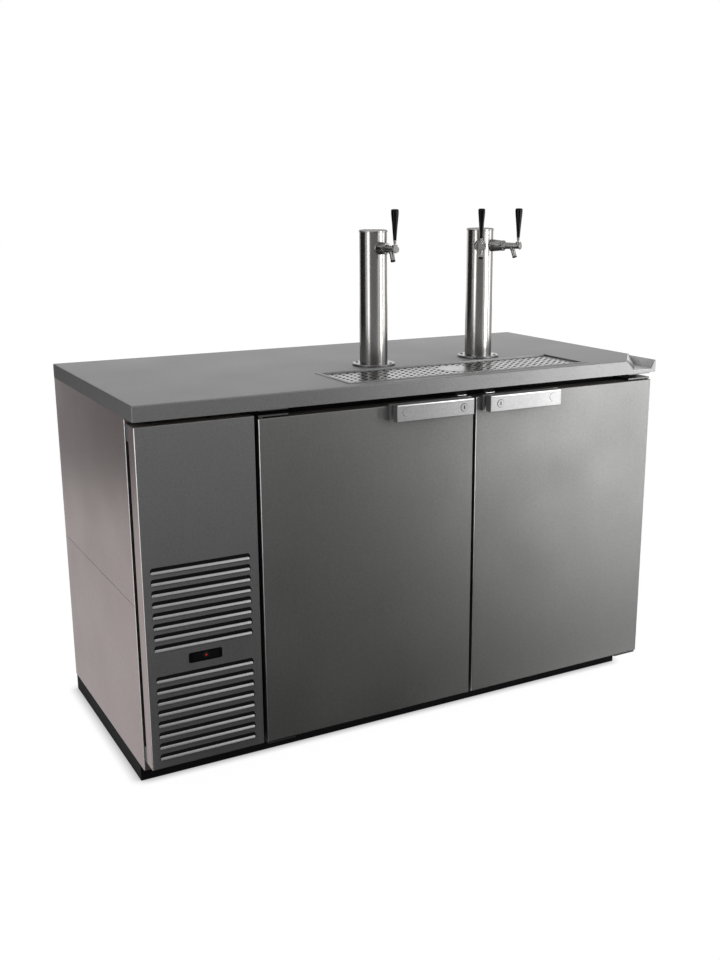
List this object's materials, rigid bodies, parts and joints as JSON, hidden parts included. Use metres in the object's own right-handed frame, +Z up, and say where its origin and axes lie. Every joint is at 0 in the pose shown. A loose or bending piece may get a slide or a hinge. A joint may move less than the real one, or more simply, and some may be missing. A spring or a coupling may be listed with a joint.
{
  "type": "direct draw beer cooler",
  "caption": "Two-door draught beer cooler with a louvred machine bay, a drip tray let into the worktop, and column towers with lever faucets.",
  "frame": {"origin": "on the floor, under the middle of the whole part's outline (worktop and door handles)", "axes": "+X along the front to the right, towards the two-tap tower; +Y to the back; +Z up; the doors face -Y"},
  "size_m": [1.524, 0.7702, 1.3815],
  "materials": {
    "stainless_brushed": "brushed",
    "stainless_polished": "polished",
    "handle_metal": "satin",
    "zinc_steel": "zinc plated",
    "galvanised_steel": "galvanised",
    "black_frame": "satin black",
    "black_rubber": "matte",
    "black_plastic": "gloss",
    "dark_plastic": "matte",
    "foam": "rigid foam",
    "liner_aluminium": "stucco",
    "fin_aluminium": "finned",
    "copper": "drawn tube",
    "compressor_black": "gloss black",
    "line_plastic": "translucent"
  },
  "bodies": {
    "cabinet": {"back_panel": "galvanised_steel", "base_cross_rails": "black_frame", "base_long_rails": "black_frame", "beer_line_risers": "line_plastic", "compressor": "compressor_black", "condenser_coil": "fin_aluminium", "coupling_nuts": "stainless_polished", "door_frame": "black_frame", "drip_tray_drain": "dark_plastic", "drip_tray_pan": "stainless_brushed", "evaporator_coil": "fin_aluminium", "evaporator_cover": "liner_aluminium", "fan_motors": "dark_plastic", "faucet_body_left": "stainless_polished", "faucet_body_middle": "stainless_polished", "faucet_body_right": "stainless_polished", "faucet_shanks": "stainless_polished", "floor_pan": "galvanised_steel", "grille_panel": "stainless_brushed", "hinge_brackets": "zinc_steel", "insulation_back": "foam", "insulation_end_walls": "foam", "insulation_floor": "foam", "keg_compartment_liner": "liner_aluminium", "lock_strikes": "zinc_steel", "mains_gland": "dark_plastic", "refrigerant_lines": "copper", "side_panel_left_lower": "stainless_brushed", "side_panel_left_upper": "stainless_brushed", "side_panel_right": "stainless_brushed", "temperature_display": "black_plastic", "tower_caps": "stainless_polished", "tower_column_left": "stainless_polished", "tower_column_right": "stainless_polished", "tower_flanges": "stainless_polished", "tower_gaskets": "black_rubber", "tower_screws": "stainless_polished", "worktop_insulation": "foam", "worktop_skin": "stainless_brushed"},
    "door_left": {"door_skin_left": "stainless_brushed", "door_core_left": "foam", "door_inner_panel_left": "liner_aluminium", "door_gasket_left": "black_rubber", "door_handle_left": "handle_metal"},
    "lock_left": {"door_lock_left": "zinc_steel"},
    "door_right": {"door_skin_right": "stainless_brushed", "door_core_right": "foam", "door_inner_panel_right": "liner_aluminium", "door_gasket_right": "black_rubber", "door_handle_right": "handle_metal"},
    "lock_right": {"door_lock_right": "zinc_steel"},
    "lever_left": {"faucet_lever_left": "stainless_polished", "tap_handle_left": "black_plastic"},
    "lever_middle": {"faucet_lever_middle": "stainless_polished", "tap_handle_middle": "black_plastic"},
    "lever_right": {"faucet_lever_right": "stainless_polished", "tap_handle_right": "black_plastic"},
    "tray_grid": {"drip_tray_grid": "stainless_polished"},
    "condenser_fan": {"condenser_fan": "dark_plastic"},
    "evaporator_fan": {"evaporator_fan": "dark_plastic"}
  },
  "joints": [
    {"name": "door_left_hinge", "type": "hinge", "parent": "cabinet", "child": "door_left", "pos_m": [-0.452, -0.3399, 0.49], "axis": [0, 0, -1], "range_deg": [0, 110]},
    {"name": "lock_left_turn", "type": "hinge", "parent": "door_left", "child": "lock_left", "pos_m": [0.0912, -0.3839, 0.89], "axis": [0, 1, 0], "range_deg": [0, 90]},
    {"name": "door_right_hinge", "type": "hinge", "parent": "cabinet", "child": "door_right", "pos_m": [0.741, -0.3399, 0.49], "axis": [0, 0, 1], "range_deg": [0, 110]},
    {"name": "lock_right_turn", "type": "hinge", "parent": "door_right", "child": "lock_right", "pos_m": [0.2043, -0.3839, 0.89], "axis": [0, -1, 0], "range_deg": [0, 90]},
    {"name": "lever_left_tilt", "type": "hinge", "parent": "cabinet", "child": "lever_left", "pos_m": [0.001, -0.1819, 1.2885], "axis": [1, 0, 0], "range_deg": [0, 28]},
    {"name": "lever_middle_tilt", "type": "hinge", "parent": "cabinet", "child": "lever_middle", "pos_m": [0.28047, -0.16397, 1.2885], "axis": [0.848, -0.5299, 0], "range_deg": [0, 28]},
    {"name": "lever_right_tilt", "type": "hinge", "parent": "cabinet", "child": "lever_right", "pos_m": [0.402, -0.16609, 1.2885], "axis": [0.866, 0.5, 0], "range_deg": [0, 28]},
    {"name": "tray_grid_lift", "type": "slide", "parent": "cabinet", "child": "tray_grid", "axis": [0, 0, 1], "range_m": [0, 0.06]},
    {"name": "condenser_fan_spin", "type": "hinge", "parent": "cabinet", "child": "condenser_fan", "pos_m": [-0.61475, -0.1179, 0.1782], "axis": [0, 1, 0], "continuous": true},
    {"name": "evaporator_fan_spin", "type": "hinge", "parent": "cabinet", "child": "evaporator_fan", "pos_m": [-0.3243, 0.1439, 0.703], "axis": [1, 0, 0], "continuous": true}
  ]
}
